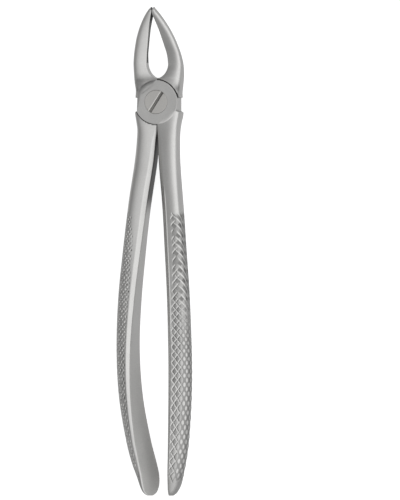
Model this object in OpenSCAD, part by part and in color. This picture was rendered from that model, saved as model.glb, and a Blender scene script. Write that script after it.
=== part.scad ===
// Dental extraction forceps: two forged levers that cross in a half-lap joint and turn on a
// slotted screw. The forceps lies on its back. The pivot axis is Z, the beaks point along +Y
// and the origin is on the pivot axis in the flat rear face of the joint, which rests at Z = 0.

/* [Joint] */
// Thickness of the joint, both laps together
joint_t = 9.2; // [8.6:0.1:10.4]
// Radius of the round shoulders that the laps turn in
joint_r = 7.9; // [7.7:0.1:8]
// Distance from the pivot to the flat side of each lap
waist = 7.05; // [6.6:0.05:7.4]
// Angle above the waist line at which the shoulder of a beak ends
beak_horn = 11.6; // [10:0.2:14]
// Angle below the waist line at which the shoulder of a handle ends
handle_horn = 24.2; // [23:0.2:28]

/* [Beaks] */
// Distance from the pivot to the tips of the beaks
beak_len = 34; // [33:0.1:36]
// Height of the back of the beaks above the bench for each millimetre along them
beak_lean = 0.475; // [0.42:0.005:0.5]
// Depth of the flute in the inner face of each beak
flute_depth = 0.9; // [0.5:0.1:1.2]
// Distance from the pivot to the round lower end of the flute
flute_start = 13.9; // [13:0.1:16]

/* [Handles] */
// Distance from the pivot to the ends of the handles
handle_len = 141; // [136:0.5:146]
// Depth of the handles, across the flat inner face
handle_depth = 9.8; // [9.2:0.1:10.4]
// Turn of the left handle towards the front at its end
left_twist = 33; // [0:1:36]
// Turn of the right handle towards the front at its end
right_twist = 5; // [0:1:10]

/* [Pivot screw] */
// Radius of the screw head
head_r = 4.2; // [3.6:0.1:4.6]
// Height of the screw head
head_h = 2.2; // [1.8:0.1:2.6]
// Radius of the plain shank that the front lever turns on
shank_r = 2.6; // [2.2:0.1:3]
// Radius of the threaded end that is screwed into the rear lever
thread_r = 2.1; // [1.8:0.1:2.4]
// Width of the screwdriver slot
slot_w = 0.9; // [0.6:0.05:1]
// Depth of the screwdriver slot
slot_depth = 1.0; // [0.6:0.1:1.2]
// Angle of the slot from the length of the forceps
slot_angle = 33; // [0:1:90]

/* [Hidden] */

lap_z = joint_t / 2;   // height of the faces where the laps slide on each other
slide_gap = 0.06;      // half the running gap between two sliding faces
turn_gap = 0.08;       // running gap between a lap and the shoulder around it
screw_gap = 0.05;      // radial running gap of the screw in the front lever
part_gap = 0.06;       // half the gap between the closed levers at the centre plane
screw_end = 0.3;       // depth of the end of the screw below the rear face
sink = 0.04;           // how far the forged faces lie below the ground faces of the joint
over = 1;              // how far a cut runs past the face that it opens

// Tooth space: a round lower end, then a long taper to the tips
space_half = 4.05;     // half width at the widest place
space_wide = 13.6;     // distance from the pivot to the widest place
space_drop = 5.1;      // length of the round lower end
space_taper = [[13.6, 4.05], [17.3, 3.7], [20.1, 3.12], [23, 2.5], [25.9, 1.85], [28.3, 1.2],
               [30.2, 0.62], [31.6, 0.2], [32.6, part_gap], [33.3, 0.16], [34, 0.42], [36, 0.6]];
// Half width over the outside of the beaks at places along them
beak_outer = [[0, 8.35], [3, 8.05], [6, 8.4], [9, 8.85], [13.5, 9.05], [17.3, 8.55], [20.1, 7.85],
              [23, 6.95], [26, 5.7], [28.5, 4.4], [30.5, 3.2], [32, 2.15], [33.2, 1.3], [34, 0.85]];
// Thickness of the beaks, front to back, at places along them
beak_thick = [[0, 9.06], [5, 9], [8, 8.55], [11, 7.5], [13.5, 6.5], [17.2, 5.6], [22, 5.45],
              [31.5, 5.1], [33, 3.9], [34, 1.2]];
// How square the outer side of the beaks is: 2 is an ellipse
beak_square = [[0, 5], [7, 4.4], [12, 3], [18, 2.6], [34, 2.2]];
beak_shaped = 9.2;     // where the back of a beak starts to lean
lean_blend = 2;        // length over which it starts
tip_start = 32.4;      // where the back of the tip curls forward
tip_lean = 0.55;       // and how steeply
least_thick = 0.3;     // least width of the tip
flute_low_half = 1.25; // half width of the flute at its round lower end
flute_spread = 0.045;  // how fast the half width of the flute grows

// Inner face of each handle, its distance from the centre plane at places along it
left_inner = [[-141, 3.05], [-134, 3.15], [-130, 3.85], [-121, 5.9], [-105, 8.2], [-88, 8.8],
              [-70, 7.7], [-53, 5.8], [-36, 3.6], [-21.5, 1.4], [-12, 0.5], [-8.6, part_gap],
              [0, part_gap]];
right_inner = [[-141, 3.7], [-122, 4.1], [-100, 4.3], [-88, 4.2], [-70, 3.7], [-53, 2.8],
               [-36, 1.8], [-21.5, 0.5], [-12, 0.2], [-8.6, part_gap], [0, part_gap]];
// Thickness of each handle, from its inner face to its outer side
left_thick = [[-141, 1.2], [-140, 2.0], [-137, 3.4], [-130, 5.8], [-121, 6.15], [-105, 6.35],
              [-88, 6.5], [-70, 6.95], [-36, 7.2], [-21.5, 7.3], [-12, 7.3], [-7, 7.9], [-4, 8.3],
              [0, 8.3]];
right_thick = [[-141, 1.6], [-140, 2.8], [-137, 4.3], [-130, 5.9], [-120, 7.1], [-100, 7.9],
               [-70, 7.5], [-36, 6.85], [-21.5, 7.1], [-12, 7.3], [-7, 7.9], [-4.5, 8.4], [0, 8.4]];
// Depth of a handle against its full depth, which falls to a round end
handle_full = [[-141, 0.25], [-140.4, 0.5], [-139, 0.75], [-136, 0.93], [-130, 1], [-36, 1],
               [-12, 0.935], [0, 0.93]];
// Width of the bevels along the inner face
bevel = [[-141, 0.3], [-130, 0.5], [-105, 0.9], [-70, 1.7], [-36, 1.7], [-15, 1.1], [-8, 0.3],
         [0, 0.3]];
// How square the outer side of the handles is: 2 is an ellipse
handle_square = [[-141, 2.2], [-60, 2.8], [-36, 3.2], [-12, 3], [-5, 5], [0, 5]];
// Share of the end twist that is reached at places along a handle
twist_share = [[-141, 1], [-125, 0.95], [-105, 0.62], [-85, 0.36], [-60, 0.14], [-40, 0], [0, 0]];
centre_share = 1.02;   // share of its half depth by which a handle is lifted to centre it
centre_lift = 0.02;

// Slope of a curve through [place, value] points at point i
function slope(t, i) =
    let (a = max(i - 1, 0), b = min(i + 1, len(t) - 1)) (t[b][1] - t[a][1]) / (t[b][0] - t[a][0]);
// Number of the stretch of a curve that holds the place y
function stretch(t, y, i = 0) = i >= len(t) - 2 || y <= t[i + 1][0] ? i : stretch(t, y, i + 1);
// Value at the place y of the smooth curve through the points t
function curve(t, y) =
    let (i = stretch(t, y), h = t[i + 1][0] - t[i][0], s = (y - t[i][0]) / h)
    t[i][1] * (1 + 2 * s) * (1 - s) * (1 - s) + slope(t, i) * h * s * (1 - s) * (1 - s)
    + t[i + 1][1] * s * s * (3 - 2 * s) + slope(t, i + 1) * h * s * s * (s - 1);

function power(x, p) = sign(x) * pow(abs(x), p);

// Outline of a section with a flat inner side: u runs outwards from the inner face, v across it
outer_steps = 22;      // steps round the outer side of a section
inner_steps = 12;      // steps across the inner face of a section
function outer_side(start, thick, half, square) =
    [for (k = [0:outer_steps]) let (a = -90 + 180 * k / outer_steps)
        [start + (thick - start) * power(cos(a), 2 / square), half * power(sin(a), 2 / square)]];
// Half the width of the flute at the place y along the beak
function flute_half(y) =
    let (run = y - flute_start)
    run <= 0 ? 0 : min(flute_low_half + flute_spread * run, sqrt(2 * flute_low_half * run));
function flute(y, v) =
    let (w = flute_half(y))
    abs(v) >= w ? 0 : flute_depth * min(w / flute_low_half, 1) * (1 - v * v / w / w);

// Half width of the tooth space at the place y
function space(y) =
    y <= space_wide - space_drop ? part_gap :
    y < space_wide ? max(part_gap, space_half * sqrt(1 - pow((space_wide - y) / space_drop, 2))) :
    curve(space_taper, y);

// Ring of points round a beak at the place y, for the right beak
function beak_ring(y) =
    let (inner = space(y), thick = max(curve(beak_outer, y) - inner, least_thick),
         half = curve(beak_thick, y) / 2, run = y - beak_shaped,
         back = sink + beak_lean * (run + sqrt(run * run + lean_blend * lean_blend)) / 2
                + tip_lean * max(0, y - tip_start),
         mid = back + half)
    [for (p = concat(outer_side(0.02, thick, half, curve(beak_square, y)),
                     [for (k = [1:inner_steps - 1]) let (v = half * (1 - 2 * k / inner_steps))
                         [min(flute(y, v), thick / 2), v]]))
        [inner + p[0], y, mid + p[1]]];

// Ring of points round a handle at the place y, for the right handle before it is mirrored
function handle_ring(y, inner, thick, twist) =
    let (half = handle_depth / 2 * curve(handle_full, y), b = curve(bevel, y),
         t = curve(thick, y), a = twist * curve(twist_share, y),
         flat = [for (k = [0:inner_steps - 2]) [0, (half - b) * (1 - 2 * k / (inner_steps - 2))]],
         ring = [for (p = concat(outer_side(b, t, half, curve(handle_square, y)), flat))
             [p[0] * cos(a) - p[1] * sin(a), p[0] * sin(a) + p[1] * cos(a)]],
         low = min([for (p = ring) p[1]]),
         rest = max(sink, joint_t / 2 - half * centre_share + centre_lift))
    [for (p = ring) [curve(inner, y) + p[0], y, p[1] - low + rest]];

// Solid through a list of rings that all have the same number of points, closed at both ends
// by a fan of triangles round the middle of the end ring
module skin(rings) {
    n = len(rings[0]);
    m = len(rings);
    ends = [for (ring = [rings[0], rings[m - 1]]) (ring[0] + ring[outer_steps]
            + 2 * ring[outer_steps / 2]) / 4];
    points = concat([for (ring = rings) each ring], ends);
    faces = [for (k = [0:n - 1]) let (next = (k + 1) % n)
        each concat([[m * n, next, k], [m * n + 1, (m - 1) * n + k, (m - 1) * n + next]],
                    [for (i = [0:m - 2]) let (a = i * n + k, b = i * n + next)
                        each [[a, b, a + n], [b, b + n, a + n]]])];
    polyhedron(points = points, faces = faces, convexity = 6);
}

// Places of the rings: close together where the shape turns quickly
beak_places = concat([for (y = [0:1.5:7.5]) y], [for (y = [8.4:0.4:11.6]) y], [12.4, 13.2],
                     [for (y = [flute_start:0.3:flute_start + 1.8]) y],
                     [for (y = [17:1:31]) y], [for (y = [31.6:0.4:32.8]) y],
                     [33.2, 33.5, 33.75, 33.9, beak_len]);
handle_places = concat([-handle_len, -140.8, -140.4, -139.8, -139, -138, -136.5, -134.5],
                       [for (y = [-132:4:-20]) y], [for (y = [-17:2:-9]) y],
                       [-8.6, -7, -5.5, -4, -2, 0]);

// Beak of the right side
module beak() skin([for (y = beak_places) beak_ring(y)]);
// Handle of the right side, before it is mirrored
module handle(inner, thick, twist)
    skin([for (y = handle_places) handle_ring(y, inner, thick, twist)]);

// Space beside the laps between the horn of a beak and the horn of a handle, right side
module horn_space() {
    reach = 3 * joint_r;
    translate([0, 0, -over]) linear_extrude(joint_t + 2 * over)
        polygon([[0, 0], reach * [cos(handle_horn), -sin(handle_horn)],
                 reach * [cos(beak_horn), sin(beak_horn)]]);
}

// One lap: a round plate from height low to height high, flat on its left side
module lap(low, high) translate([0, 0, low]) difference() {
    cylinder(r = joint_r, h = high - low, $fn = 120);
    translate([-waist - 2 * joint_r, -joint_r - over, -over])
        cube([2 * joint_r, 2 * (joint_r + over), high - low + 2 * over]);
}

// Round recess in a lever that the lap of the other lever turns in
module recess(low, high) translate([0, 0, low])
    cylinder(r = joint_r + turn_gap, h = high - low, $fn = 120);

// Lever with the left beak, the front lap and the right handle
module front_lever() color([0.72, 0.72, 0.71]) difference() {
    union() {
        difference() {
            union() {
                mirror([1, 0, 0]) beak();
                handle(right_inner, right_thick, -right_twist);
            }
            recess(-over, lap_z + slide_gap);
            horn_space();
            mirror([1, 0, 0]) horn_space();
        }
        lap(lap_z + slide_gap, joint_t);
    }
    cylinder(r = shank_r + screw_gap, h = joint_t + over, $fn = 72);
    translate([0, 0, joint_t - head_h]) cylinder(r = head_r + screw_gap, h = head_h + over, $fn = 96);
}

// Lever with the right beak, the rear lap and the left handle
module rear_lever() color([0.68, 0.68, 0.67]) difference() {
    union() {
        difference() {
            union() {
                beak();
                mirror([1, 0, 0]) handle(left_inner, left_thick, -left_twist);
            }
            recess(lap_z - slide_gap, joint_t + over);
            horn_space();
            mirror([1, 0, 0]) horn_space();
        }
        mirror([1, 0, 0]) lap(0, lap_z - slide_gap);
    }
    translate([0, 0, -over]) cylinder(r = thread_r, h = joint_t, $fn = 72);
}

// Screw: slotted flat head, plain shank and threaded end
module pivot_screw() color([0.75, 0.75, 0.74]) difference() {
    union() {
        translate([0, 0, joint_t - head_h + slide_gap])
            cylinder(r = head_r, h = head_h - slide_gap, $fn = 96);
        translate([0, 0, lap_z - slide_gap])
            cylinder(r = shank_r, h = joint_t - head_h - lap_z + slide_gap + over, $fn = 72);
        translate([0, 0, screw_end]) cylinder(r = thread_r, h = lap_z, $fn = 72);
    }
    rotate(-slot_angle) translate([-slot_w / 2, -head_r - over, joint_t - slot_depth])
        cube([slot_w, 2 * (head_r + over), slot_depth + over]);
}

front_lever();
rear_lever();
pivot_screw();
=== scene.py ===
"""Looks of the dental extraction forceps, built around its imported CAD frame.

The forceps lies on its back: Z is the pivot axis, the beaks point along +Y, and the origin is on
the pivot axis in the rear face of the joint. Each lever is swept from nearly the same sections
as the CAD lever, at a fine resolution, and gets what the CAD leaves out: the sloping fronts, the
knurled grip, the cross grooves in the flutes, and the broken edges of the joint. Lengths in this
file are millimetres until a mesh is finished, and the finished meshes are in metres.
"""
import math

import bmesh
import bpy
import numpy as np
from mathutils import Matrix, Vector


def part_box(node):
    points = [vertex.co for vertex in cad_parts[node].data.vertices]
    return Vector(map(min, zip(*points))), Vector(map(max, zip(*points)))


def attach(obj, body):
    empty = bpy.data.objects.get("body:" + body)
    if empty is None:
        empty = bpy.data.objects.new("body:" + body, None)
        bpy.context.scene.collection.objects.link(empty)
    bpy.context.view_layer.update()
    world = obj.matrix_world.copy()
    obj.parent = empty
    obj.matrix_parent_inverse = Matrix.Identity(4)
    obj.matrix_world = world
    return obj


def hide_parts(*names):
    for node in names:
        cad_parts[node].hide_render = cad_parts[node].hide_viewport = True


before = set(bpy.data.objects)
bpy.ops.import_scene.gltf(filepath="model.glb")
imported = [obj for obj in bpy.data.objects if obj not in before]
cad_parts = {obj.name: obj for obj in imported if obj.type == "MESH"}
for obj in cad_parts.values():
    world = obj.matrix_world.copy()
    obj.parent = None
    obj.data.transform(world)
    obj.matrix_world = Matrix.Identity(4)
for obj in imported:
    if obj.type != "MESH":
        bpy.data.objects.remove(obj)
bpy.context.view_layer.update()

# --- Sizes, in millimetres ------------------------------------------------------------------

MM = 0.001
SCREW_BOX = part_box("pivot_screw")
LEVER_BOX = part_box("rear_lever")
JOINT_T = SCREW_BOX[1][2] / MM            # top of the screw head, flush with the joint
HEAD_R = SCREW_BOX[1][0] / MM
BEAK_LEN = LEVER_BOX[1][1] / MM
HANDLE_LEN = -LEVER_BOX[0][1] / MM
LAP_Z = JOINT_T / 2
JOINT_R = 7.9            # radius of the laps
WAIST = 7.05             # distance from the pivot axis to the flat on a lap's side
BEAK_HORN = 11.6         # angles of the shoulders above and below the waist line, in degrees
HANDLE_HORN = 24.2
SLIDE_GAP = 0.06         # half the gap between the faces of the two laps
TURN_GAP = 0.08          # radial gap round a lap
PART_GAP = 0.06          # half the gap between the closed levers at the centre plane
SINK = 0.04              # how far the forged faces lie below the ground faces of the joint

BEAK_LEAN = 0.475        # rise of the back of a beak along its length
FLUTE_DEPTH = 0.9
FLUTE_START = 13.9
FLUTE_HALF = 1.25        # half its width at its round lower end
FLUTE_SPREAD = 0.045     # how fast its half width grows
TIP_START = 32.4         # where the back of the tip curls forward
TIP_LEAN = 0.55
LEAST_THICK = 0.3        # least width of the tip
SPACE_HALF = 4.05        # half width of the tooth space at its widest place
SPACE_WIDE = 13.6        # distance from the pivot axis to that place
SPACE_DROP = 5.1         # length of its round lower end
SPACE_TAPER = [(13.6, 4.05), (17.3, 3.7), (20.1, 3.12), (23, 2.5), (25.9, 1.85), (28.3, 1.2),
               (30.2, 0.62), (31.6, 0.2), (32.6, PART_GAP), (33.3, 0.16), (34, 0.42)]
# Outside of the beaks from the centre plane, their thickness from front to back, and how square
# their outer side is, where 2 is an ellipse
BEAK_OUTER = [(0, 8.35), (3, 8.05), (6, 8.4), (9, 8.85), (13.5, 9.05), (17.3, 8.55), (20.1, 7.85),
              (23, 6.95), (26, 5.7), (28.5, 4.4), (30.5, 3.2), (32, 2.15), (33.2, 1.2),
              (34, 0.5)]
BEAK_THICK = [(0, 9.06), (5, 9), (8, 8.55), (11, 7.5), (13.5, 6.5), (17.2, 5.6), (22, 5.45),
              (31.5, 5.1), (33, 3.9), (34, 1.2)]
BEAK_SQUARE = [(0, 6), (5, 6), (8, 4.4), (11, 3.4), (14, 3.1), (22, 2.8), (34, 2.6)]
BEAK_SHAPED = 9.2        # where the beak starts to lean
LEAN_BLEND = 2.0         # length over which it starts

HANDLE_DEPTH = 9.8
LEFT_TWIST = 33          # turn of the end of each handle's section, in degrees
RIGHT_TWIST = 5
CENTRE_SHARE = 1.02      # share of its half depth by which a handle is lifted to centre it
CENTRE_LIFT = 0.02
# Distance of each handle's inner face from the centre plane, and its thickness from there out
LEFT_INNER = [(-141, 3.05), (-134, 3.15), (-130, 3.85), (-121, 5.9), (-105, 8.2), (-88, 8.8),
              (-70, 7.7), (-53, 5.8), (-36, 3.6), (-21.5, 1.4), (-12, 0.5), (-8.6, PART_GAP),
              (0, PART_GAP)]
RIGHT_INNER = [(-141, 3.7), (-122, 4.1), (-100, 4.3), (-88, 4.2), (-70, 3.7), (-53, 2.8),
               (-36, 1.8), (-21.5, 0.5), (-12, 0.2), (-8.6, PART_GAP), (0, PART_GAP)]
LEFT_THICK = [(-141, 1.2), (-140, 2.0), (-137, 3.4), (-130, 5.8), (-121, 6.15), (-105, 6.35),
              (-88, 6.5), (-70, 6.95), (-36, 7.2), (-21.5, 7.3), (-12, 7.3), (-7, 7.9), (-4, 8.3),
              (0, 8.3)]
RIGHT_THICK = [(-141, 1.6), (-140, 2.8), (-137, 4.3), (-130, 5.9), (-120, 7.1), (-100, 7.9),
               (-70, 7.5), (-36, 6.85), (-21.5, 7.1), (-12, 7.3), (-7, 7.9), (-4.5, 8.4), (0, 8.4)]
# Depth of a handle against its full depth, the width of its bevels, how square its outer side
# is, and the share of the end's twist
HANDLE_FULL = [(-141, 0.25), (-140.4, 0.5), (-139, 0.75), (-136, 0.93), (-130, 1), (-36, 1),
               (-12, 0.935), (0, 0.93)]
BEVEL = [(-141, 0.3), (-130, 0.5), (-105, 0.9), (-70, 1.3), (-36, 1.5), (-15, 1.1), (-8, 0.3),
         (0, 0.3)]
HANDLE_SQUARE = [(-141, 2.2), (-60, 2.8), (-36, 3.2), (-12, 3.0), (-5, 5), (0, 5)]
TWIST_SHARE = [(-141, 1), (-125, 0.95), (-105, 0.62), (-85, 0.38), (-60, 0.2), (-40, 0.03), (0, 0)]
# Slope of the front of the handles and beaks down towards their inner edge, in degrees
LEFT_FALL = [(-141, 0), (-100, 3), (-70, 9), (-50, 12), (-26, 12), (-12, 15), (-7, 12), (-3, 2),
             (0, 0)]
RIGHT_FALL = [(-141, 0), (-80, 5), (-36, 10), (-14, 12), (-10, 11), (-7, 6), (-4, 0), (0, 0)]
LEFT_BEAK_FALL = [(0, 0), (4.4, 0), (6.6, 6), (9.2, 15.5), (11.5, 18), (26, 17), (31, 12), (34, 8)]
RIGHT_BEAK_FALL = [(0, 0), (7, 0), (9.5, 3), (13, 13), (16, 17), (26, 17), (31, 12), (34, 8)]

BEAK_SEAM = 12.0         # where the fine beak joins the joint's mesh
HANDLE_SEAM = -12.0      # where the fine handle joins the joint's mesh


# --- Sections -------------------------------------------------------------------------------

def curve(table, y):
    """Value at y of the smooth curve through the (place, value) points of the table."""
    t = np.asarray(table, float)
    place, value = t[:, 0], t[:, 1]
    n = len(t)
    low, high = np.maximum(np.arange(n) - 1, 0), np.minimum(np.arange(n) + 1, n - 1)
    slope = (value[high] - value[low]) / (place[high] - place[low])
    y = np.asarray(y, float)
    i = np.clip(np.searchsorted(place, y, side="left") - 1, 0, n - 2)
    h = place[i + 1] - place[i]
    s = (y - place[i]) / h
    return (value[i] * (1 + 2 * s) * (1 - s) ** 2 + slope[i] * h * s * (1 - s) ** 2
            + value[i + 1] * s * s * (3 - 2 * s) + slope[i + 1] * h * s * s * (s - 1))


def smooth_step(low, high, x):
    """0 below low, 1 above high, and a smooth rise between them."""
    s = np.clip((x - low) / (high - low), 0, 1)
    return s * s * (3 - 2 * s)


def power(x, p):
    """Power of the size of x, with the sign of x."""
    return np.sign(x) * np.abs(x) ** p


def along(points, count, last):
    """Count points at even distances along a polyline; last says whether its end is included."""
    step = np.hypot(*np.diff(points, axis=0).T)
    run = np.concatenate([[0], np.cumsum(step)])
    at = np.linspace(0, run[-1], count, endpoint=last)
    return np.column_stack([np.interp(at, run, points[:, 0]), np.interp(at, run, points[:, 1])])


def outer_side(start, thick, half, square, count):
    """Points round the outer side of a section, evenly spaced, from its back to its front."""
    a = np.radians(np.linspace(-90, 90, 721))
    fine = np.column_stack([start + (thick - start) * power(np.cos(a), 2 / square),
                            half * power(np.sin(a), 2 / square)])
    return along(fine, count, True)


def soften(ring, rounds):
    """Round the corners of a closed section."""
    for _ in range(rounds):
        ring = 0.5 * ring + 0.25 * (np.roll(ring, 1, axis=0) + np.roll(ring, -1, axis=0))
    return ring


def ring_normals(ring):
    """Outward directions of a closed section whose points run anticlockwise."""
    d = np.roll(ring, -1, axis=0) - np.roll(ring, 1, axis=0)
    n = np.column_stack([d[:, 1], -d[:, 0]])
    return n / np.maximum(np.hypot(n[:, 0], n[:, 1]), 1e-9)[:, None]


def space(y):
    """Half width of the tooth space between the beaks."""
    if y <= SPACE_WIDE - SPACE_DROP:
        return PART_GAP
    if y < SPACE_WIDE:
        return max(PART_GAP, SPACE_HALF * math.sqrt(1 - ((SPACE_WIDE - y) / SPACE_DROP) ** 2))
    return float(curve(SPACE_TAPER, y))


# --- Beaks ----------------------------------------------------------------------------------

BEAK_OUTER_POINTS = 96
BEAK_INNER_POINTS = 72
GROOVE_PITCH = 0.45      # distance between the fine cross grooves of a flute
GROOVE_DEPTH = 0.055
FLUTE_SHADE = 0.95        # painted shade on the inner face with the flute, from 0 to 1


def flute_half(y):
    """Half width of the flute, which starts round and then widens slowly."""
    run = y - FLUTE_START
    if run <= 0:
        return 0.0
    return min(FLUTE_HALF + FLUTE_SPREAD * run, math.sqrt(run * 2 * FLUTE_HALF))


def dip(y, share, place, width, depth, start):
    """Depth of a hollow in the front of a beak's root, deepest at the place along the beak."""
    return depth * math.exp(-((y - place) / width) ** 2) * smooth_step(start, start + 0.4, share)


def beak_ring(y, fall, hollow):
    """Points of the right beak's section at y, and the painted shade at each."""
    inner = space(y)
    thick = max(float(curve(BEAK_OUTER, y)) - inner, LEAST_THICK)
    half = float(curve(BEAK_THICK, y)) / 2
    lean_run = y - BEAK_SHAPED
    back = SINK + BEAK_LEAN * (lean_run + math.hypot(lean_run, LEAN_BLEND)) / 2
    back += max(0.0, y - TIP_START) * TIP_LEAN
    outer = outer_side(0.02, thick, half, float(curve(BEAK_SQUARE, y)), BEAK_OUTER_POINTS)
    v = np.linspace(half, -half, BEAK_INNER_POINTS + 2)[1:-1]
    w = flute_half(y)
    depth = np.zeros_like(v)
    painted_shade = np.zeros(BEAK_OUTER_POINTS + BEAK_INNER_POINTS)
    if w > 0:
        inside = np.abs(v) < w
        bowl = 1 - (v[inside] / w) ** 2
        lean = y * math.cos(math.atan(BEAK_LEAN)) + v[inside] * math.sin(math.atan(BEAK_LEAN))
        groove = 0.5 - 0.5 * np.cos(2 * math.pi * lean / GROOVE_PITCH)
        full = min(FLUTE_DEPTH * min(w / FLUTE_HALF, 1), 0.5 * thick)
        depth[inside] = full * bowl + GROOVE_DEPTH * groove * np.clip(bowl * 5, 0, 1)
        # painted shade over the inner face with the flute, kept off its front edge
        painted_shade[BEAK_OUTER_POINTS:] = FLUTE_SHADE * smooth_step(0.2, 0.7, half - v) * min(w, 1)
    face = np.column_stack([depth, v])
    section = np.vstack([outer, face])
    slope = math.tan(math.radians(float(curve(fall, y))))
    section[:, 1] -= slope * (thick - section[:, 0]) * section[:, 1] / half
    section[:, 1] -= dip(y, section[:, 0] / thick, *hollow) * np.clip(section[:, 1] / half, 0, 1)
    section = soften(section, 2) + [inner, back + half]
    return np.column_stack([section[:, 0], np.full(len(section), y), section[:, 1]]), painted_shade


# --- Handles --------------------------------------------------------------------------------

OUTER_POINTS = 176       # points round the knurled side of a handle
BEVEL_POINTS = 10
FLAT_POINTS = 44
HANDLE_POINTS = OUTER_POINTS + 2 * BEVEL_POINTS + FLAT_POINTS

WALL_SHADE_END = -41.0       # the inner walls get painted shade, for the dark narrow gap, from the joint to here
WALL_SHADE_FULL = -33.0
MATTE_FADE = (-115, -80)  # the inner face of a handle turns from matt to satin between these

KNURL_TOP = -38.5        # where the knurling starts
KNURL_ROUND = 1.4        # how far its upper end falls off at the edges
KNURL_END = -135.5       # where it ends
KNURL_TILT = 0.12        # slope of its lower end
KNURL_ACROSS = 2.3       # width of a diamond
KNURL_LONG = [(-141, 3.5), (-110, 3.45), (-92, 2.9), (-75, 2.6), (-38, 2.45)]   # its length
KNURL_DEPTH = 0.3
LEFT_FINER = 1.45        # how much finer the left handle's knurling is
EDGE = 0.3               # length over which a groove runs out
CHEVRON_FADE = (-76, -64)  # below these are diamonds and above them chevrons
CHEVRON_SPLIT = 5.6      # where across the front the two arms of a chevron meet
PAD_FADE = (-88, -68)    # above these the limb has lines and below them domed pads
LIMB_FADE = (4.6, 6.4)   # the rounded limb of the right handle ends between these
TURNED_BELOW = 2.9       # closer to the outermost point the long walls face the front
GROOVE_EASY = 0.42       # width of the long wall of a groove between diamonds
GROOVE_EASY_LEFT = 0.38
GROOVE_STEEP = 0.16      # and of its short wall
PAD_DOME = 0.13          # how far the middle of a diamond stands above its edges on the limb
PAD_SHADE = 0.4           # painted shade on the diamonds on the front, from 0 to 1
PAD_SHADE_LEFT = 0.16
LIMB_SHADE = 0.25         # how much more painted shade they get on the limb between the chevrons
PIT_SHADE = 0.6           # painted shade in the valleys between the domed pads
END_DARKENING = 0.4           # how much darker the outer side of the plain ends of the handles is made

RIDGE = 0.16             # height of the fine ridge along the front edge of the right handle
RIDGE_HALF = 0.16        # half its width
RIDGE_INSET = 0.1        # its distance from the end of the knurled side
RIDGE_RISE = (-90, -75)  # it rises between the first pair of places
RIDGE_FALL = (-34, -28)  # and falls between the second


def knurl_run(y):
    """Number of diamonds between the top of the knurling and y."""
    grid = np.linspace(-HANDLE_LEN, 0, 1500)
    per = 1 / curve(KNURL_LONG, np.clip(grid, -141, -38))
    total = np.concatenate([[0], np.cumsum((per[1:] + per[:-1]) / 2 * np.diff(grid))])
    return np.interp(y, grid, total)


def knurl_lines(y, t, right, wave):
    """Place of each point in the two families of grooves, which run through whole numbers, and
    the distance from one groove to the next."""
    finer = 1.0 if right else LEFT_FINER
    run = knurl_run(y) * finer
    across = KNURL_ACROSS / finer
    length = curve(KNURL_LONG, np.clip(y, -141, -38)) / finer
    wander = 0.05 * np.sin(0.11 * y + wave[0])
    wander += (0.03 if right else 0.12) * np.sin(0.83 * y + 0.6 * t + wave[1])
    families = (t / across + run + wander,
                t / across - run + 0.04 * np.sin(0.17 * y + wave[2]))
    return families, across * length / np.hypot(across, length)


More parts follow.
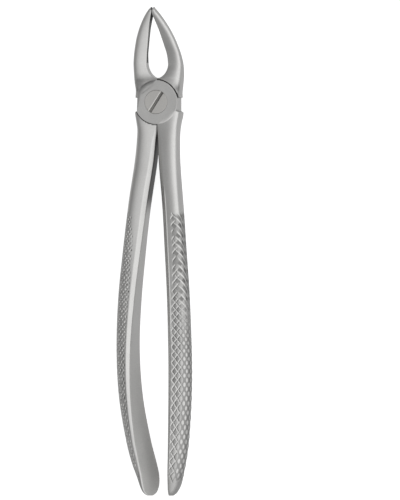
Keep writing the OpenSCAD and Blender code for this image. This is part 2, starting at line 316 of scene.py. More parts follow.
def knurl(y, t, margin, reach, side, seed):
    """Fall of the knurled surface below the smooth one, and its painted shade from 0 to 1.
    t runs round the section from its outermost point towards the front; margin is the width
    left smooth at both edges of the knurled side; side is 1 on the right handle. The diamonds
    get painted shade and the walls of the grooves that catch the light are left unpainted, so that
    they read as lit; on the right handle the valleys between the domed pads on the limb get
    painted shade too. On the left one the grooves are deep only where they cross."""
    right = side > 0
    wave = np.random.default_rng(seed).uniform(0, 2 * math.pi, 8)
    families, pitch = knurl_lines(y, t, right, wave)
    chevrons = smooth_step(*CHEVRON_FADE, y)
    pads = 1 - smooth_step(*PAD_FADE, y)
    round_limb = (1 - smooth_step(*LIMB_FADE, t)) * right
    facing = side * (1 - 2 * ((t < TURNED_BELOW) & right))
    top = KNURL_TOP - KNURL_ROUND * smooth_step(0, reach[1], np.abs(t + 1.0))
    end = KNURL_END - KNURL_TILT * t
    to_front, to_back = reach[1] - t, t + reach[0]
    spread = [np.abs(lines - np.round(lines)) * 2 for lines in families]
    easy = GROOVE_EASY if right else GROOVE_EASY_LEFT
    shallow = 0.65 * round_limb * smooth_step(1.5, 3.2, t) * (1 - pads)
    low_pads = 1 - 0.8 * round_limb * pads
    cut, lit = np.zeros_like(t), np.zeros_like(t)
    for family, lines in enumerate(families):
        number = np.round(lines)
        away = (lines - number) * pitch * facing
        chance = np.sin(number * 12.9 + wave[3 + family]), np.sin(number * 7.7 + wave[5 + family])
        inside = (smooth_step(0.0, EDGE, to_front - margin * (1 + 0.22 * chance[0]))
                  * smooth_step(0.0, EDGE, to_back - margin * (1 + 0.2 * chance[1]))
                  * smooth_step(0.0, 0.5, top - y + 0.5 * chance[1])
                  * smooth_step(0.0, 0.5, y - end + 0.5 * chance[0]))
        deep = (1.0 if family else 0.85) * (1 + 0.14 * chance[0]) * inside
        if right:
            own_side = (t - CHEVRON_SPLIT - 0.8 * chance[1]) * (1 - 2 * family)
            deep = deep * (1 + chevrons * (1.15 * smooth_step(-0.4, 0.4, own_side) - 0.95))
            low = deep * (1 - shallow)
        else:
            speck = np.sin(number * 5.1 + np.round(families[1 - family]) * 3.3 + wave[7])
            deep = deep * (1.5 - 1.3 * smooth_step(0.3, 0.8, spread[1 - family]))
            deep = deep * (0.75 + 0.6 * speck)
            low = deep * (1 + 0.9 * (1 - smooth_step(-105, -75, y)))
        wall = np.where(away > 0, easy, GROOVE_STEEP)
        cut = np.maximum(cut, low * low_pads * np.clip(1 - np.abs(away) / wall, 0, 1))
        on_wall = smooth_step(-0.12, 0.0, away) * (1 - smooth_step(0.3, 0.5, away))
        on_wall += round_limb * (1 - smooth_step(0.16, 0.36, np.abs(away)) - on_wall)
        lit = np.maximum(lit, np.clip(deep, 0, 1) * on_wall)
    zone = (smooth_step(0.0, 1.0, to_front - margin) * smooth_step(0.0, 0.6, to_back - margin)
            * smooth_step(0.0, 2.0, top - y) * smooth_step(0.0, 0.5, y - end))
    limb = round_limb * pads
    middle = spread[0] * spread[1]
    pad = np.sin(np.floor(families[0]) * 2.4 + np.floor(families[1]) * 3.9 + wave[7])
    # painted shade on the diamonds, kept off the lit walls of the grooves, and in the valleys
    # between the domed pads
    pad_painted_shade = (PAD_SHADE if right else PAD_SHADE_LEFT) + LIMB_SHADE * round_limb * (1 - pads)
    front_painted_shade = pad_painted_shade * (1 + 0.35 * pad) * (1 - lit)
    limb_painted_shade = 0.05 + PIT_SHADE * (1 - smooth_step(0.1, 0.5, middle))
    fall = KNURL_DEPTH * cut + PAD_DOME * limb * (1 - middle) * zone
    return fall, np.clip(zone * (limb * limb_painted_shade + (1 - limb) * front_painted_shade), 0, 1)


def handle_rings(places, inner, thick, fall, twist, margin, side, seed):
    """Points (x, y, z) of the rings of a handle, and the painted shade at each point."""
    points, grooves = [], []
    for y in places:
        half = HANDLE_DEPTH / 2 * float(curve(HANDLE_FULL, y))
        b = float(curve(BEVEL, y))
        t_thick = float(curve(thick, y))
        square = float(curve(HANDLE_SQUARE, y))
        outer = outer_side(b, t_thick, half, square, OUTER_POINTS)
        front = along(np.array([[b, half], [0, half - b]]), BEVEL_POINTS + 1, False)[1:]
        flat = along(np.array([[0, half - b], [0, b - half]]), FLAT_POINTS, True)
        back = along(np.array([[0, b - half], [b, -half]]), BEVEL_POINTS + 1, False)[1:]
        ring = np.vstack([outer, front, flat, back])
        slope = math.tan(math.radians(float(curve(fall, y))))
        ring[:, 1] -= slope * (t_thick - ring[:, 0]) * np.clip(ring[:, 1] / half, 0, 1)
        a = math.radians(twist * float(curve(TWIST_SHARE, y)))
        turn = np.array([[math.cos(a), math.sin(a)], [-math.sin(a), math.cos(a)]])
        ring = ring @ turn
        low = ring[:, 1].min()
        rest = max(SINK, JOINT_T / 2 - half * CENTRE_SHARE + CENTRE_LIFT)
        ring = soften(ring, 5 if y < HANDLE_SEAM else 1)
        step = np.hypot(*np.diff(outer, axis=0).T)
        run = np.concatenate([[0], np.cumsum(step)])
        t = run - np.interp(0, outer[:, 1], run)
        groove = np.zeros(len(ring))
        if KNURL_END - 3 < y < KNURL_TOP + 1:
            edge = float(curve(margin, y))
            fall_t, painted_shade = knurl(np.full_like(t, y), t, edge, (-t[0], t[-1]), side, seed)
            height = np.zeros(len(ring))
            height[:len(t)] = -fall_t
            groove[:len(t)] = painted_shade
            ring = ring + ring_normals(ring) * height[:, None]
        # the outer side of the plain ends below the knurling is made darker
        darker_end = END_DARKENING * (1 - smooth_step(KNURL_END - 0.5, KNURL_END + 5, y))
        groove[:OUTER_POINTS] = np.maximum(groove[:OUTER_POINTS], darker_end)
        # painted shade on the inner walls, for the dark narrow gap between the handles near the
        # joint
        inner_wall = slice(OUTER_POINTS + BEVEL_POINTS, None)
        groove[inner_wall] = float(smooth_step(WALL_SHADE_END, WALL_SHADE_FULL, y))
        if side > 0:
            high = RIDGE * smooth_step(*RIDGE_RISE, y) * (1 - smooth_step(*RIDGE_FALL, y))
            lift = np.zeros(len(ring))
            lift[:len(t)] = high * np.exp(-((t[-1] - t - RIDGE_INSET) / RIDGE_HALF) ** 2)
            ring = ring + ring_normals(ring) * lift[:, None]
        ring = ring + [float(curve(inner, y)), rest - low]
        points.append(np.column_stack([ring[:, 0], np.full(len(ring), y), ring[:, 1]]))
        grooves.append(groove)
    return points, grooves


# --- Mesh work ------------------------------------------------------------------------------

def mesh_object(name, points, faces, groove=None, matte=None):
    """Object from points and faces, with the painted shade and the matt finish at each point if
    given.
    """
    mesh = bpy.data.meshes.new(name)
    mesh.from_pydata(points, [], faces)
    for layer_name, values in (("groove", groove), ("matte", matte)):
        if values is not None:
            layer = mesh.attributes.new(layer_name, "FLOAT", "POINT")
            layer.data.foreach_set("value", np.asarray(values, np.float32))
    obj = bpy.data.objects.new(name, mesh)
    bpy.context.collection.objects.link(obj)
    return obj


def tube(name, rings, groove=None, low_cap=True, high_cap=True, flip=False):
    """Mesh through rings of equal length, with the painted shade at each point and its open ends
    closed where low_cap or high_cap says so. flip turns the faces over, for mirrored rings."""
    n, m = len(rings[0]), len(rings)
    points = np.vstack(rings)
    faces = []
    for i in range(m - 1):
        k = np.arange(n) + i * n
        nxt = np.roll(k, -1)
        faces.append(np.column_stack([k, k + n, nxt + n, nxt]))
    faces = np.vstack(faces).tolist()
    values = np.zeros(len(points)) if groove is None else np.concatenate(groove)
    matte = np.zeros(len(points))
    if n == HANDLE_POINTS:
        in_flat = np.arange(len(points)) % n
        in_flat = (in_flat >= OUTER_POINTS + BEVEL_POINTS) & (in_flat < n - BEVEL_POINTS)
        matte = in_flat * (1 - smooth_step(*MATTE_FADE, points[:, 1]))
    for use, start, side in ((low_cap, 0, 0), (high_cap, (m - 1) * n, 1)):
        if not use:
            continue
        middle = rings[-1 if side else 0].mean(axis=0)
        points = np.vstack([points, middle])
        values = np.append(values, 0.0)
        matte = np.append(matte, 0.0)
        c = len(points) - 1
        for k in range(n):
            a, b = start + k, start + (k + 1) % n
            faces.append([c, b, a] if side else [c, a, b])
    if flip:
        faces = [f[::-1] for f in faces]
    return mesh_object(name, points.tolist(), faces, values, matte)


def mirrored(rings):
    """The same rings on the other side of the centre plane."""
    return [r * [-1, 1, 1] for r in rings]


def prism(name, outline, low, high):
    """Upright prism over an outline whose points run anticlockwise."""
    n = len(outline)
    points = [(x, y, z) for z in (low, high) for x, y in outline]
    faces = [[k, (k + 1) % n, (k + 1) % n + n, k + n] for k in range(n)]
    faces.append(list(range(n))[::-1])
    faces.append(list(range(n, 2 * n)))
    return mesh_object(name, points, faces)


def turned(name, profile, steps=160):
    """Solid of revolution about Z through (radius, height) points, from bottom to top."""
    angle = np.linspace(0, 2 * math.pi, steps, endpoint=False)
    points = [(r * math.cos(a), r * math.sin(a), z) for r, z in profile for a in angle]
    faces = []
    for i in range(len(profile) - 1):
        for k in range(steps):
            a, b = i * steps + k, i * steps + (k + 1) % steps
            faces.append([a, b, b + steps, a + steps])
    faces.append(list(range(steps))[::-1])
    faces.append(list(range((len(profile) - 1) * steps, len(profile) * steps)))
    return mesh_object(name, points, faces)


def shaped(obj, steps):
    """Carry out boolean steps, (operation, tool object), on an object and delete the tools."""
    for number, (operation, tool) in enumerate(steps):
        mod = obj.modifiers.new(f"step{number}", "BOOLEAN")
        mod.operation = operation
        mod.solver = "EXACT"
        mod.object = tool
    bpy.context.view_layer.update()
    graph = bpy.context.evaluated_depsgraph_get()
    mesh = bpy.data.meshes.new_from_object(obj.evaluated_get(graph))
    old = obj.data
    obj.modifiers.clear()
    obj.data = mesh
    bpy.data.meshes.remove(old)
    for _, tool in steps:
        bpy.data.objects.remove(tool)
    return obj


GAP_SHADE = (0.06, 0.35)  # the walls this far beyond the radius of the laps get painted shade
WEDGE_HALF = 0.7         # half width and height of the painted shade between the roots of the handles
WEDGE_TOP = 6.4


def welded(name, joint, tubes, gap_levels, shade_spots):
    """One mesh from the joint's mesh and the fine tubes that meet it at the seams. The walls of
    the recess between the two levels get painted shade, and so do spots beside the joint."""
    bm = bmesh.new()
    bm.from_mesh(joint.data)
    near = 1e-4
    seam_faces = [f for f in bm.faces
                  if all(abs(v.co.y - BEAK_SEAM) < near for v in f.verts)
                  or all(abs(v.co.y - HANDLE_SEAM) < near for v in f.verts)]
    bmesh.ops.delete(bm, geom=seam_faces, context="FACES")
    loose = [v for v in bm.verts if not v.link_faces]
    bmesh.ops.delete(bm, geom=loose, context="VERTS")
    for t in tubes:
        bm.from_mesh(t.data)
    shade_layer = bm.verts.layers.float["groove"]
    for v in bm.verts:
        radius = math.hypot(v.co.x, v.co.y)
        in_gap = (GAP_SHADE[0] < radius - JOINT_R < GAP_SHADE[1]
                  and gap_levels[0] < v.co.z < gap_levels[1])
        in_wedge = (HANDLE_SEAM - near < v.co.y < -JOINT_R and abs(v.co.x) < WEDGE_HALF
                    and v.co.z < WEDGE_TOP)
        # painted shade on the recess walls and in the wedge between the roots of the handles
        if in_gap or in_wedge:
            v[shade_layer] = 1.0
        # spots of painted shade in the crevices beside the joint
        for centre, size, painted_shade in shade_spots:
            v[shade_layer] = max(v[shade_layer], painted_shade * math.exp(-((v.co - Vector(centre)).length / size) ** 2))
    edge = [v for v in bm.verts if abs(v.co.y - BEAK_SEAM) < near
            or abs(v.co.y - HANDLE_SEAM) < near]
    bmesh.ops.remove_doubles(bm, verts=edge, dist=1e-3)
    bmesh.ops.recalc_face_normals(bm, faces=bm.faces)
    bmesh.ops.scale(bm, vec=Vector((MM, MM, MM)), verts=bm.verts)
    open_edges = sum(1 for e in bm.edges if not e.is_manifold)
    mesh = bpy.data.meshes.new(name)
    bm.to_mesh(mesh)
    bm.free()
    print(name, "faces", len(mesh.polygons), "open edges", open_edges)
    obj = bpy.data.objects.new(name, mesh)
    bpy.context.collection.objects.link(obj)
    for o in [joint, *tubes]:
        bpy.data.objects.remove(o)
    return obj


def finish_shading(obj, angle):
    """Smooth shading with sharp edges above the angle."""
    obj.data.shade_smooth()
    obj.data.set_sharp_from_angle(angle=math.radians(angle))
    mod = obj.modifiers.new("weighted", "WEIGHTED_NORMAL")
    mod.keep_sharp = True


# --- Levers ---------------------------------------------------------------------------------

CIRCLE_STEPS = 180
SHOULDER_BREAK = 0.35    # width of the broken edge of a shoulder at the face of the joint
RELIEF = 0.22            # extra clearance at the visible end of a recess
BORE_BREAK = 0.08        # width of the broken edge round the screw head
THREAD_BREAK = 0.2       # and round the threaded hole at the rear
LAP_BREAK = 0.12         # width of the broken rim of a lap
INNER_BREAK = 0.05       # width of the broken rim of the hidden lap
BEAK_ROUND = (1.8, 0.8)  # extra width and depth of the rim where it runs into the beak
HANDLE_ROUND = (1.2, 0.15)   # and into the handle


def lap_outline():
    """Plan of a lap: a circle with a flat on its left side, anticlockwise."""
    a = math.acos(-WAIST / JOINT_R)
    angle = np.linspace(-a, a, CIRCLE_STEPS)
    return np.column_stack([JOINT_R * np.cos(angle), JOINT_R * np.sin(angle)])


def lap(outline, low, high, breaks):
    """Upright plate over the outline whose top edge is rounded; breaks holds the width and the
    depth of the rounding at each point of the outline."""
    p = np.asarray(outline, float)
    ahead, behind = np.roll(p, -1, axis=0) - p, p - np.roll(p, 1, axis=0)
    way = (ahead / np.hypot(*ahead.T)[:, None]) + (behind / np.hypot(*behind.T)[:, None])
    inward = np.column_stack([-way[:, 1], way[:, 0]]) / np.hypot(*way.T)[:, None]
    rings = [np.column_stack([p, np.full(len(p), low)])]
    for step in range(7):
        a = math.radians(15 * step)
        level = high - breaks[:, 1] * (1 - math.sin(a))
        rings.append(np.column_stack([p + inward * breaks[:, :1] * (1 - math.cos(a)), level]))
    n = len(p)
    faces = []
    for i in range(len(rings) - 1):
        for k in range(n):
            a, b = i * n + k, i * n + (k + 1) % n
            faces.append([a, b, b + n, a + n])
    faces.append(list(range(n))[::-1])
    faces.append(list(range((len(rings) - 1) * n, len(rings) * n)))
    return mesh_object("lap", np.vstack(rings).tolist(), faces)


def rim_breaks(outline):
    """Width and depth of the rim's rounding: wide where the disc runs into the beak and handle."""
    angle = np.degrees(np.arctan2(outline[:, 1], outline[:, 0]))
    beak = smooth_step(88, 104, angle)
    handle = smooth_step(-84, -70, angle) * (1 - smooth_step(-35, -20, angle))
    return np.column_stack([LAP_BREAK + at_beak * beak + at_handle * handle
                            for at_beak, at_handle in zip(BEAK_ROUND, HANDLE_ROUND)])


def horn_space(side):
    """Cutter for the space between the shoulders above and below the waist on one side."""
    reach = 3 * JOINT_R
    a, b = math.radians(HANDLE_HORN), math.radians(BEAK_HORN)
    outline = [(0, 0), (side * reach * math.cos(a), -reach * math.sin(a)),
               (side * reach * math.cos(b), reach * math.sin(b))]
    return prism("horn_space", outline if side > 0 else outline[::-1], -2, JOINT_T + 2)


def recess(low, high, top):
    """Cutter for the recess that the other lap turns in. Where it opens at the top of the joint
    it is relieved and its edge is broken, and at the bottom only its edge is broken."""
    r = JOINT_R + TURN_GAP
    if top:
        relieved = r + RELIEF
        profile = [(r, low), (r, high - 1.7), (relieved, high - 1.3),
                   (relieved, high - SHOULDER_BREAK), (relieved + SHOULDER_BREAK, high),
                   (relieved + SHOULDER_BREAK + 1, high + 1)]
    else:
        profile = [(r + SHOULDER_BREAK + 1, low - 1), (r + SHOULDER_BREAK, low),
                   (r, low + SHOULDER_BREAK), (r, high)]
    return turned("recess", profile, CIRCLE_STEPS * 2)


def rows(*stretches):
    """Places from stretches (start, end, step), in order, without repeats."""
    out = []
    for start, end, step in stretches:
        count = max(1, round(abs(end - start) / step))
        out.extend(np.linspace(start, end, count + 1)[(1 if out else 0):])
    return out


def beak_tubes(fall, hollow):
    """Rings of the coarse root of the right beak, and rings and painted shade of its fine part."""
    low = [beak_ring(y, fall, hollow)[0] for y in rows((0.0, 7.6, 0.4), (7.6, BEAK_SEAM, 0.22))]
    places = rows((BEAK_SEAM, FLUTE_START, 0.2), (FLUTE_START, BEAK_LEN - 0.3, 0.09),
                  (BEAK_LEN - 0.3, BEAK_LEN - 0.02, 0.05))
    fine = [beak_ring(y, fall, hollow) for y in places]
    return low, [ring for ring, _ in fine], [painted_shade for _, painted_shade in fine]


def handle_tubes(inner, thick, fall, twist, margin, side, seed):
    """Rings of the coarse root of a handle, and rings and painted shade of its fine part. They are
    the left handle's or the mirror image of the right one's."""
    low, low_groove = handle_rings(rows((HANDLE_SEAM, 0.0, 0.5)), inner, thick, fall, twist,
                                   margin, side, seed)
    places = rows((-HANDLE_LEN, -140, 0.1), (-140, KNURL_END - 2, 0.3),
                  (KNURL_END - 2, KNURL_TOP + 1, 0.19), (KNURL_TOP + 1, HANDLE_SEAM, 0.7))
    fine, groove = handle_rings(places, inner, thick, fall, twist, margin, side, seed)
    return low, fine, groove


# Hollow beside each beak's root: place, width, depth, and where it starts across the beak
LEFT_HOLLOW = (4.7, 1.7, 1.1, 0.0)
RIGHT_HOLLOW = (4.0, 1.3, 0.4, 0.6)
# Spots of painted shade in the crevices beside the joint: place, size and strength
LEFT_SHADE_SPOTS = [((-5.9, 6.7, 8.3), 1.8, 0.5), ((-7.4, 4.8, 8.3), 1.4, 0.35)]
RIGHT_SHADE_SPOTS = [((7.8, 4.8, 8.3), 1.5, 0.75)]
# Width left smooth at the edges of the knurling, at places along the handle
LEFT_MARGIN = [(-141, 0.25), (-75, 0.3), (-66, 0.4), (-58, 1.0), (-48, 2.2), (-38, 4.3)]
RIGHT_MARGIN = [(-141, 0.15), (-100, 0.25), (-80, 0.5), (-60, 1.2), (-38, 1.9)]


def lever(name, beak_on_left, handle_curves, lap_levels, recess_cutter):
    """A whole lever: its beak, its lap of the joint between the levels, and its handle."""
    if beak_on_left:
        beak_shape, shade_spots = (LEFT_BEAK_FALL, LEFT_HOLLOW), LEFT_SHADE_SPOTS
        gap_levels = (-1, LAP_Z + 0.1)
    else:
        beak_shape, shade_spots = (RIGHT_BEAK_FALL, RIGHT_HOLLOW), RIGHT_SHADE_SPOTS
        gap_levels = (LAP_Z - 0.1, JOINT_T - SHOULDER_BREAK)
    beak_low, beak_fine, painted_shade = beak_tubes(*beak_shape)
    handle_low, handle_fine, groove = handle_tubes(*handle_curves)
    if beak_on_left:
        beak_low, beak_fine = mirrored(beak_low), mirrored(beak_fine)
    else:
        handle_low, handle_fine = mirrored(handle_low), mirrored(handle_fine)
    base = tube("beak_root", beak_low, flip=beak_on_left)
    root = tube("handle_root", handle_low, flip=not beak_on_left)
    shaped(base, [("UNION", root)])
    low, high = lap_levels
    outline = lap_outline()
    if not beak_on_left:
        outline = (outline * [-1, 1])[::-1]
    hidden_rim = np.full((len(outline), 2), INNER_BREAK)
    plate = lap(outline, low, high, rim_breaks(outline) if beak_on_left else hidden_rim)
    shaped(base, [("DIFFERENCE", recess_cutter), ("DIFFERENCE", horn_space(1)),
                  ("DIFFERENCE", horn_space(-1)), ("UNION", plate)])
    if beak_on_left:
        shank, head = SHANK_R + SCREW_GAP, HEAD_R + SCREW_GAP
        bore = turned("bore", [(shank, -2), (shank, HEAD_LOW), (head, HEAD_LOW),
                               (head, JOINT_T - BORE_BREAK), (head + BORE_BREAK + 1, JOINT_T + 1)])
    else:
        bore = turned("bore", [(THREAD_R + THREAD_BREAK + 1, -1.0), (THREAD_R, THREAD_BREAK),
                               (THREAD_R, JOINT_T)])
    shaped(base, [("DIFFERENCE", bore)])
    beak = tube("beak", beak_fine, painted_shade, low_cap=False, flip=beak_on_left)
    handle = tube("handle", handle_fine, groove, high_cap=False, flip=not beak_on_left)
    obj = welded(name, base, [beak, handle], gap_levels, shade_spots)
    finish_shading(obj, 32)
    return obj


# --- Pivot screw ----------------------------------------------------------------------------

HEAD_H = 2.2
HEAD_LOW = JOINT_T - HEAD_H
SHANK_R = 2.6
THREAD_R = 2.1
SCREW_GAP = 0.05         # radial gap round the screw
SCREW_END = 0.3          # depth of the end of the screw below the rear face
SCREW_TAPER = 0.35       # width of the broken edge at that end
HEAD_EDGE = 0.1          # width of the broken edge of the head
SLOT_W = 0.9
SLOT_DEPTH = 1.0
SLOT_ANGLE = 33          # turn of the slot from the length of the forceps, in degrees
SLOT_BREAK = 0.25        # width of the broken edges of the slot


def slot_cutter():
    """Cutter for the screwdriver slot, which flares at the face of the head."""
    half, flare, reach = SLOT_W / 2, SLOT_BREAK + 1, HEAD_R + 1
    low, high = JOINT_T - SLOT_DEPTH, JOINT_T + 1
    section = [(-half, low), (half, low), (half, JOINT_T - SLOT_BREAK), (half + flare, high),
               (-half - flare, high), (-half, JOINT_T - SLOT_BREAK)]
    n = len(section)
    points = [(x, y, z) for y in (-reach, reach) for x, z in section]
    faces = [[k + n, (k + 1) % n + n, (k + 1) % n, k] for k in range(n)]
    faces += [list(range(n)), list(range(n, 2 * n))[::-1]]
    cutter = mesh_object("slot", points, faces)
    cutter.data.transform(Matrix.Rotation(math.radians(-SLOT_ANGLE), 4, "Z"))
    return cutter


def slot_shade(place):
    """Painted shade on the floor of the slot, darkest against its right wall."""
    if abs(place.z - (JOINT_T - SLOT_DEPTH)) > 0.01:
        return 0.0
    a = math.radians(SLOT_ANGLE)
    return 0.95 if place.x * math.cos(a) - place.y * math.sin(a) > 0 else 0.55


def pivot_screw():
    """The screw: turned end, shank and head, with the slot cut and its floor given painted shade.
    """
    shank_low, head_low = LAP_Z - SLIDE_GAP, HEAD_LOW + SLIDE_GAP
    body = turned("pivot_screw_turned", [
        (THREAD_R - SCREW_TAPER, SCREW_END), (THREAD_R, SCREW_END + SCREW_TAPER),
        (THREAD_R, shank_low), (SHANK_R, shank_low), (SHANK_R, head_low), (HEAD_R, head_low),
        (HEAD_R, JOINT_T - HEAD_EDGE), (HEAD_R - HEAD_EDGE, JOINT_T)], 192)
    shaped(body, [("DIFFERENCE", slot_cutter())])
    mesh = body.data
    # painted shade on the floor of the slot, kept in the groove attribute
    dark = mesh.attributes.get("groove") or mesh.attributes.new("groove", "FLOAT", "POINT")
    dark.data.foreach_set("value", [slot_shade(v.co) for v in mesh.vertices])
    mesh.transform(Matrix.Scale(MM, 4))
    finish_shading(body, 30)
    return body


# --- Materials ------------------------------------------------------------------------------

def steel(name, colour, roughness, brush_scale, grain):
    """Satin stainless steel: fine grain, faint brushing, cloudy roughness, darker where the groove
    attribute holds painted shade, rougher where matt."""
    mat = bpy.data.materials.new(name)
    mat.use_nodes = True
    nodes, links = mat.node_tree.nodes, mat.node_tree.links
    shader = nodes["Principled BSDF"]
    shader.inputs["Metallic"].default_value = 1.0
    coords = nodes.new("ShaderNodeTexCoord")

    def noise(scale, detail, rough=0.55):
        mapping = nodes.new("ShaderNodeMapping")
        mapping.inputs["Scale"].default_value = scale
        links.new(coords.outputs["Object"], mapping.inputs["Vector"])
        tex = nodes.new("ShaderNodeTexNoise")
        tex.inputs["Scale"].default_value = 1.0
        tex.inputs["Detail"].default_value = detail
        tex.inputs["Roughness"].default_value = rough
        links.new(mapping.outputs["Vector"], tex.inputs["Vector"])
        return tex.outputs["Fac"]

    def remap(value, low, high, to_low, to_high):
        node = nodes.new("ShaderNodeMapRange")
        node.inputs["From Min"].default_value = low
        node.inputs["From Max"].default_value = high
        node.inputs["To Min"].default_value = to_low
        node.inputs["To Max"].default_value = to_high
        links.new(value, node.inputs["Value"])
        return node.outputs["Result"]

    def maths(operation, a, b):
        node = nodes.new("ShaderNodeMath")
        node.operation = operation
        for socket, value in zip(node.inputs, (a, b)):
            if isinstance(value, (int, float)):
                socket.default_value = value
            else:
                links.new(value, socket)
        return node.outputs["Value"]

    cloud = noise((180, 90, 180), 3)
    fine = noise((2300, 2300, 2300), 3, 0.75)
    brush = noise(brush_scale, 4, 0.7)
    groove, matte = nodes.new("ShaderNodeAttribute"), nodes.new("ShaderNodeAttribute")
    groove.attribute_name = "groove"
    matte.attribute_name = "matte"

    tone = remap(cloud, 0.3, 0.7, 0.94, 1.03)
    tone = maths("MULTIPLY", tone, remap(fine, 0.3, 0.7, 1 - grain, 1 + grain))
    # the groove attribute is painted shade: it darkens the base colour down to a fifth
    tone = maths("MULTIPLY", tone, remap(groove.outputs["Fac"], 0.0, 1.0, 1.0, 0.2))
    tint = nodes.new("ShaderNodeVectorMath")
    tint.operation = "SCALE"
    tint.inputs[0].default_value = colour
    links.new(tone, tint.inputs["Scale"])
    links.new(tint.outputs["Vector"], shader.inputs["Base Color"])

    rough = maths("ADD", remap(cloud, 0.3, 0.7, roughness - 0.03, roughness + 0.03),
                  remap(brush, 0.3, 0.7, -0.03, 0.03))
    rough = maths("ADD", rough, remap(groove.outputs["Fac"], 0.0, 1.0, 0.0, 0.08))
    rough = maths("ADD", rough, remap(matte.outputs["Fac"], 0.0, 1.0, 0.0, 0.4))
    links.new(rough, shader.inputs["Roughness"])

    height = maths("ADD", maths("MULTIPLY", fine, 0.5), brush)
    bump = nodes.new("ShaderNodeBump")
    bump.inputs["Strength"].default_value = 0.6
    bump.inputs["Distance"].default_value = 0.00004
    links.new(height, bump.inputs["Height"])
    links.new(bump.outputs["Normal"], shader.inputs["Normal"])
    return mat


def plain(name, colour, roughness):
    """Plain paint, for the floors."""
    mat = bpy.data.materials.new(name)
    mat.use_nodes = True
    shader = mat.node_tree.nodes["Principled BSDF"]
    shader.inputs["Base Color"].default_value = (*colour, 1)
    shader.inputs["Roughness"].default_value = roughness
    return mat


lever_steel = steel("lever_steel", (0.62, 0.617, 0.607), 0.36, (420, 3000, 420), 0.05)
screw_steel = steel("screw_steel", (0.63, 0.62, 0.6), 0.38, (900, 900, 900), 0.05)

front = lever("front_lever_forging", True,
              (RIGHT_INNER, RIGHT_THICK, RIGHT_FALL, -RIGHT_TWIST, RIGHT_MARGIN, 1, 3),
              (LAP_Z + SLIDE_GAP, JOINT_T), recess(0.0, LAP_Z + SLIDE_GAP, False))
rear = lever("rear_lever_forging", False,
             (LEFT_INNER, LEFT_THICK, LEFT_FALL, -LEFT_TWIST, LEFT_MARGIN, -1, 8),
             (0, LAP_Z - SLIDE_GAP), recess(LAP_Z - SLIDE_GAP, JOINT_T, True))
screw = pivot_screw()

for piece, node, body, finish in ((front, "front_lever", "front_lever", "lever_steel"),
                                  (rear, "rear_lever", "rear_lever", "lever_steel"),
                                  (screw, "pivot_screw", "rear_lever", "screw_steel")):
    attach(piece, body)
    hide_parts(node)
    piece.data.materials.append(screw_steel if finish == "screw_steel" else lever_steel)


# --- Stage ----------------------------------------------------------------------------------

def floor(name, height, grey, glow):
    """Large level floor; its material is a plain grey that glows a little."""
    size = 4.0
    obj = mesh_object(name, [(-size, -size, height), (size, -size, height), (size, size, height),
                             (-size, size, height)], [[0, 1, 2, 3]])
    pale = plain(name + "_paint", (grey, grey, grey), 0.8)
    shader = pale.node_tree.nodes["Principled BSDF"]
    shader.inputs["Emission Color"].default_value = (1, 1, 1, 1)
    shader.inputs["Emission Strength"].default_value = glow
    obj.data.materials.append(pale)
    return obj


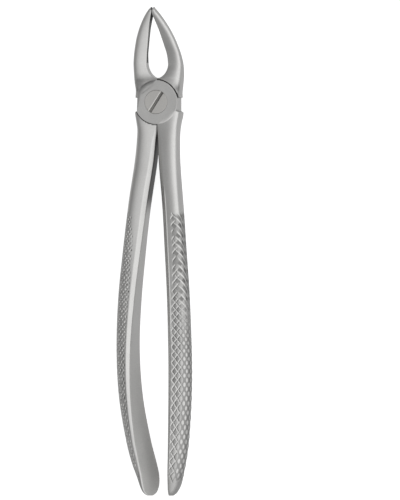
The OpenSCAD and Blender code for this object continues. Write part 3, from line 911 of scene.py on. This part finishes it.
def studio(levels):
    """World whose brightness follows the angle from overhead towards +X, and dims towards +Y."""
    world = bpy.data.worlds.new("studio")
    world.use_nodes = True
    nodes, links = world.node_tree.nodes, world.node_tree.links
    coords = nodes.new("ShaderNodeTexCoord")
    split = nodes.new("ShaderNodeSeparateXYZ")
    links.new(coords.outputs["Generated"], split.inputs["Vector"])
    turn = nodes.new("ShaderNodeMath")
    turn.operation = "ARCTAN2"
    links.new(split.outputs["X"], turn.inputs[0])
    links.new(split.outputs["Z"], turn.inputs[1])
    place = nodes.new("ShaderNodeMapRange")
    place.inputs["From Min"].default_value = -math.pi
    place.inputs["From Max"].default_value = math.pi
    links.new(turn.outputs["Value"], place.inputs["Value"])
    ramp = nodes.new("ShaderNodeValToRGB")
    ramp.color_ramp.interpolation = "EASE"
    stops = ramp.color_ramp.elements
    while len(stops) < len(levels):
        stops.new(0.5)
    for stop, (degrees, level) in zip(stops, levels):
        stop.position = (degrees + 180) / 360
        stop.color = (level / 2, level / 2, level / 2, 1)
    links.new(place.outputs["Result"], ramp.inputs["Fac"])
    away, left = nodes.new("ShaderNodeMapRange"), nodes.new("ShaderNodeMapRange")
    for node, axis, low, high in ((away, "Y", 0.1, 0.8), (left, "X", 0.5, -0.1)):
        node.inputs["From Min"].default_value = low
        node.inputs["From Max"].default_value = high
        links.new(split.outputs[axis], node.inputs["Value"])
    both = nodes.new("ShaderNodeMath")
    both.operation = "MULTIPLY"
    links.new(away.outputs["Result"], both.inputs[0])
    links.new(left.outputs["Result"], both.inputs[1])
    dim = nodes.new("ShaderNodeMapRange")
    dim.inputs["To Min"].default_value = 2.0
    dim.inputs["To Max"].default_value = 0.8
    links.new(both.outputs["Value"], dim.inputs["Value"])
    links.new(ramp.outputs["Color"], nodes["Background"].inputs["Color"])
    links.new(dim.outputs["Result"], nodes["Background"].inputs["Strength"])
    bpy.context.scene.world = world


# The white floor is what the camera sees; the grey one, just below it, is only in reflections.
white = floor("floor", 0.0, 0.5, 0.86)
white.visible_glossy = False
dark = floor("floor_for_reflections", -0.0001, 0.15, 0.4)
dark.visible_camera = False
dark.visible_diffuse = False
dark.visible_shadow = False
# Brightness of the world at angles from overhead towards +X, in degrees
studio([(-180, 0.3), (-90, 0.42), (-60, 0.33), (-35, 0.42), (-15, 0.6), (0, 0.8), (20, 1.05),
        (35, 1.2), (95, 1.25), (110, 0.6), (180, 0.3)])

bpy.context.scene.view_settings.view_transform = "Standard"

VIEW_ANGLE = 15          # degrees that the camera stands to the right of the pivot axis
VIEW_HEIGHT = 179.3      # height of the picture at the forceps, in millimetres
DISTANCE = 6000.0        # from the aim to the camera, in millimetres
AIM_RIGHT = 13.45        # the aim, to the right of the origin in the picture
AIM_Y = -53.0
SENSOR = 36
camera_data = bpy.data.cameras.new("camera")
camera_data.sensor_width = SENSOR
camera_data.lens = SENSOR * DISTANCE / VIEW_HEIGHT
camera_data.clip_end = 100
camera = bpy.data.objects.new("camera", camera_data)
bpy.context.collection.objects.link(camera)
angle = math.radians(VIEW_ANGLE)
right = Vector((math.cos(angle), 0, -math.sin(angle)))
out = Vector((math.sin(angle), 0, math.cos(angle)))
aim = right * AIM_RIGHT + Vector((0, AIM_Y, 0))
camera.location = (aim + out * DISTANCE) * MM
camera.rotation_euler = (0, angle, 0)
bpy.context.scene.camera = camera
